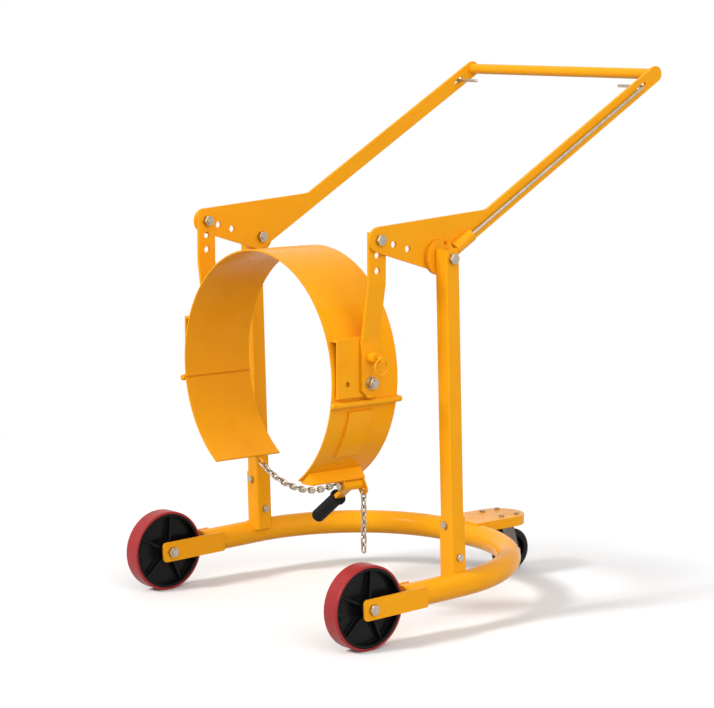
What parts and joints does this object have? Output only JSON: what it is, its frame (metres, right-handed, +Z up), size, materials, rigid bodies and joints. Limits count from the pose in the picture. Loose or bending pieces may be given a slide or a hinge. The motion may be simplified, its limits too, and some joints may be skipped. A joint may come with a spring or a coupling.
{
  "type": "drum tipper",
  "caption": "Hand-operated drum tipper: wheeled U-shaped tube base, posts, lifting lever with spring latches, and a hinged saddle with jaws and chain clamp.",
  "frame": {"origin": "on the floor, at the middle of the overall length and width", "axes": "+X towards the operator's cross bar at the rear, -Y the machine's left, +Z up"},
  "size_m": [1.1062, 0.886, 1.315],
  "materials": {
    "yellow_paint": "gloss",
    "zinc_plate": "bright zinc",
    "red_tyre": "satin",
    "black_hub": "satin",
    "black_tyre": "matte",
    "bronze_bush": "plain",
    "black_grip": "matte"
  },
  "bodies": {
    "chassis": {"base_tube": "yellow_paint", "tube_caps": "yellow_paint", "left_fork_cheeks": "yellow_paint", "right_fork_cheeks": "yellow_paint", "wheel_axles": "zinc_plate", "axle_washers": "zinc_plate", "left_socket": "yellow_paint", "right_socket": "yellow_paint", "left_post": "yellow_paint", "right_post": "yellow_paint", "socket_bolts": "zinc_plate", "latch_discs": "yellow_paint", "pivot_bolts": "zinc_plate", "caster_bracket": "yellow_paint", "caster_plate": "zinc_plate", "caster_bolts": "zinc_plate", "caster_kingpin": "zinc_plate"},
    "lever": {"left_lever_arm": "yellow_paint", "right_lever_arm": "yellow_paint", "handle_bar": "yellow_paint", "left_latch_housing": "yellow_paint", "right_latch_housing": "yellow_paint", "left_latch_spring": "zinc_plate", "right_latch_spring": "zinc_plate", "hanger_bolts": "zinc_plate"},
    "left_latch": {"left_release_rod": "zinc_plate"},
    "right_latch": {"right_release_rod": "zinc_plate"},
    "hangers": {"left_hanger": "yellow_paint", "right_hanger": "yellow_paint", "index_housing": "yellow_paint", "index_spring": "zinc_plate"},
    "tilt_pin": {"index_pin": "yellow_paint", "pull_ring": "yellow_paint"},
    "saddle": {"saddle_band": "yellow_paint", "left_trunnion_bracket": "yellow_paint", "right_trunnion_bracket": "yellow_paint", "trunnion_studs": "zinc_plate", "trunnion_nuts": "zinc_plate", "hinge_pins": "yellow_paint"},
    "left_jaw": {"left_jaw": "yellow_paint", "tension_bracket": "yellow_paint", "tension_bolt": "zinc_plate"},
    "right_jaw": {"right_jaw": "yellow_paint", "chain_anchor": "yellow_paint", "clamp_chain": "zinc_plate"},
    "tension_lever": {"tension_lever": "yellow_paint", "tension_grip": "black_grip"},
    "chain_tail": {"chain_tail": "zinc_plate"},
    "left_wheel": {"left_wheel_hub": "black_hub", "left_wheel_tyre": "red_tyre", "left_wheel_bush": "bronze_bush"},
    "right_wheel": {"right_wheel_hub": "black_hub", "right_wheel_tyre": "red_tyre", "right_wheel_bush": "bronze_bush"},
    "caster_fork": {"caster_fork": "zinc_plate", "caster_axle": "zinc_plate", "caster_balls": "zinc_plate"},
    "caster_wheel": {"caster_hub": "black_hub", "caster_tyre": "black_tyre"}
  },
  "joints": [
    {"name": "lever_lift", "type": "hinge", "parent": "chassis", "child": "lever", "pos_m": [-0.1856, 0, 0.88379], "axis": [0, -1, 0], "range_deg": [0, 53]},
    {"name": "left_latch_slide", "type": "slide", "parent": "lever", "child": "left_latch", "axis": [0.8625, 0, 0.506], "range_m": [-0.011, 0.012], "stiffness_N_per_m": 1500, "deforming": ["left_latch_spring"]},
    {"name": "right_latch_slide", "type": "slide", "parent": "lever", "child": "right_latch", "axis": [0.8625, 0, 0.506], "range_m": [-0.011, 0.012], "stiffness_N_per_m": 1500, "deforming": ["right_latch_spring"]},
    {"name": "hanger_swing", "type": "hinge", "parent": "lever", "child": "hangers", "pos_m": [-0.3606, 0, 0.93379], "axis": [0, 1, 0], "range_deg": [-25, 25]},
    {"name": "tilt_pin_slide", "type": "slide", "parent": "hangers", "child": "tilt_pin", "axis": [0, 1, 0], "range_m": [0, 0.009], "deforming": ["index_spring"]},
    {"name": "saddle_tilt", "type": "hinge", "parent": "hangers", "child": "saddle", "pos_m": [-0.3606, 0, 0.59979], "axis": [0, 1, 0], "range_deg": [-60, 90]},
    {"name": "left_jaw_swing", "type": "hinge", "parent": "saddle", "child": "left_jaw", "pos_m": [-0.3606, -0.29642, 0.55231], "axis": [-1, 0, 0], "range_deg": [0, 75]},
    {"name": "right_jaw_swing", "type": "hinge", "parent": "saddle", "child": "right_jaw", "pos_m": [-0.3606, 0.29642, 0.55231], "axis": [1, 0, 0], "range_deg": [0, 75], "deforming": ["clamp_chain"]},
    {"name": "tension_lever_swing", "type": "hinge", "parent": "left_jaw", "child": "tension_lever", "pos_m": [-0.3256, -0.19619, 0.33943], "axis": [-1, 0, 0], "range_deg": [0, 120]},
    {"name": "chain_tail_swing", "type": "hinge", "parent": "left_jaw", "child": "chain_tail", "pos_m": [-0.2956, -0.20763, 0.32426], "axis": [1, 0, 0], "range_deg": [-30, 30]},
    {"name": "left_wheel_spin", "type": "hinge", "parent": "chassis", "child": "left_wheel", "pos_m": [-0.45311, -0.397, 0.1], "axis": [0, 1, 0], "continuous": true},
    {"name": "right_wheel_spin", "type": "hinge", "parent": "chassis", "child": "right_wheel", "pos_m": [-0.45311, 0.397, 0.1], "axis": [0, 1, 0], "continuous": true},
    {"name": "caster_swivel", "type": "hinge", "parent": "chassis", "child": "caster_fork", "pos_m": [0.33256, 0, 0.1], "axis": [0, 0, 1], "continuous": true},
    {"name": "caster_wheel_spin", "type": "hinge", "parent": "caster_fork", "child": "caster_wheel", "pos_m": [0.37056, 0, 0.055], "axis": [0, 1, 0], "continuous": true}
  ]
}
